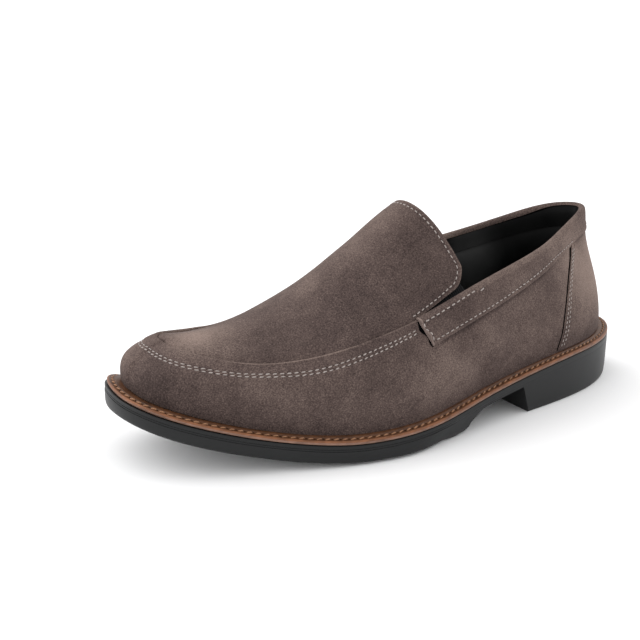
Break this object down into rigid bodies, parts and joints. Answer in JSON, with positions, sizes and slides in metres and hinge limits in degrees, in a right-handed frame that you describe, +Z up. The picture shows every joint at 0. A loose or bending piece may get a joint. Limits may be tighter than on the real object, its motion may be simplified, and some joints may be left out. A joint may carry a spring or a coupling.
{
  "type": "slip-on dress shoe",
  "caption": "Left suede slip-on dress shoe with an apron toe, elastic side slits, stitched brown welt and black rubber sole with a low block heel; hollow, to be worn on a foot.",
  "frame": {"origin": "middle of the shoe's bounding box on the floor, under the sole", "axes": "+Z up, toe along -Y, heel along +Y, outer side of the left foot along +X"},
  "size_m": [0.109, 0.2988, 0.1099],
  "materials": {
    "suede": "matt taupe nap",
    "suede_trim": "matt taupe nap",
    "elastic": "ribbed black elastic",
    "rubber": "satin black",
    "welt_leather": "waxed brown",
    "lining": "smooth black"
  },
  "bodies": {
    "root": {"outsole": "rubber", "welt": "welt_leather", "insole": "lining", "upper": "suede", "collar_band": "suede_trim", "heel_counter": "suede_trim", "gore_outer": "elastic", "gore_inner": "elastic"}
  },
  "joints": []
}
